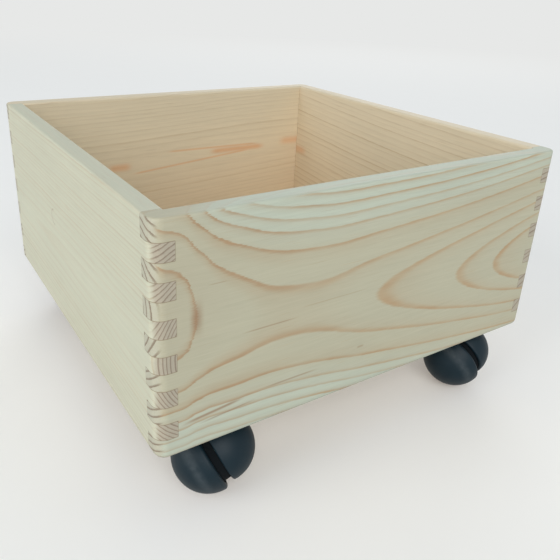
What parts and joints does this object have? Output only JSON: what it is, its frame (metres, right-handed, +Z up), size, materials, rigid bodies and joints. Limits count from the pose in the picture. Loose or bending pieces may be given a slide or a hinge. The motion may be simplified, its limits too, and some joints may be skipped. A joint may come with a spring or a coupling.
{
  "type": "plant pot caddy",
  "caption": "Open square pine box with finger-jointed corners on hooded ball casters, for rolling a potted plant about.",
  "frame": {"origin": "on the ground under the middle of the box", "axes": "+Z up; -Y is the front; -X is the left; the box's sides lie along X and Y"},
  "size_m": [0.3, 0.3048, 0.1875],
  "materials": {
    "pine": "bare planed pine, faint yellow-white",
    "zinc_steel": "bright zinc-plated steel",
    "spring_steel": "dark spring steel",
    "nylon": "natural nylon",
    "caster_plastic": "satin black plastic"
  },
  "bodies": {
    "box": {"front_board": "pine", "back_board": "pine", "left_board": "pine", "right_board": "pine", "floor_panel": "pine", "plate_screws": "zinc_steel", "front_left_plate": "zinc_steel", "front_left_stem": "zinc_steel", "front_left_stem_ring": "spring_steel", "front_left_washer": "nylon", "front_right_plate": "zinc_steel", "front_right_stem": "zinc_steel", "front_right_stem_ring": "spring_steel", "front_right_washer": "nylon", "back_left_plate": "zinc_steel", "back_left_stem": "zinc_steel", "back_left_stem_ring": "spring_steel", "back_left_washer": "nylon", "back_right_plate": "zinc_steel", "back_right_stem": "zinc_steel", "back_right_stem_ring": "spring_steel", "back_right_washer": "nylon"},
    "front_left_hood": {"front_left_hood": "caster_plastic", "front_left_axle": "zinc_steel", "front_left_axle_ring": "spring_steel"},
    "front_left_wheel": {"front_left_wheel": "caster_plastic"},
    "front_right_hood": {"front_right_hood": "caster_plastic", "front_right_axle": "zinc_steel", "front_right_axle_ring": "spring_steel"},
    "front_right_wheel": {"front_right_wheel": "caster_plastic"},
    "back_left_hood": {"back_left_hood": "caster_plastic", "back_left_axle": "zinc_steel", "back_left_axle_ring": "spring_steel"},
    "back_left_wheel": {"back_left_wheel": "caster_plastic"},
    "back_right_hood": {"back_right_hood": "caster_plastic", "back_right_axle": "zinc_steel", "back_right_axle_ring": "spring_steel"},
    "back_right_wheel": {"back_right_wheel": "caster_plastic"}
  },
  "joints": [
    {"name": "front_left_swivel", "type": "hinge", "parent": "box", "child": "front_left_hood", "pos_m": [-0.1045, -0.1045, 0.054], "axis": [0, 0, 1], "continuous": true},
    {"name": "front_left_roll", "type": "hinge", "parent": "front_left_hood", "child": "front_left_wheel", "pos_m": [-0.10863, -0.12916, 0.023], "axis": [0.8865, -0.1483, 0.4384], "continuous": true},
    {"name": "front_right_swivel", "type": "hinge", "parent": "box", "child": "front_right_hood", "pos_m": [0.1045, -0.1045, 0.054], "axis": [0, 0, 1], "continuous": true},
    {"name": "front_right_roll", "type": "hinge", "parent": "front_right_hood", "child": "front_right_wheel", "pos_m": [0.10646, -0.12942, 0.023], "axis": [0.896, 0.0705, 0.4384], "continuous": true},
    {"name": "back_left_swivel", "type": "hinge", "parent": "box", "child": "back_left_hood", "pos_m": [-0.1045, 0.1045, 0.054], "axis": [0, 0, 1], "continuous": true},
    {"name": "back_left_roll", "type": "hinge", "parent": "back_left_hood", "child": "back_left_wheel", "pos_m": [-0.10646, 0.12942, 0.023], "axis": [-0.896, -0.0705, 0.4384], "continuous": true},
    {"name": "back_right_swivel", "type": "hinge", "parent": "box", "child": "back_right_hood", "pos_m": [0.1045, 0.1045, 0.054], "axis": [0, 0, 1], "continuous": true},
    {"name": "back_right_roll", "type": "hinge", "parent": "back_right_hood", "child": "back_right_wheel", "pos_m": [0.10863, 0.12916, 0.023], "axis": [-0.8865, 0.1483, 0.4384], "continuous": true}
  ]
}
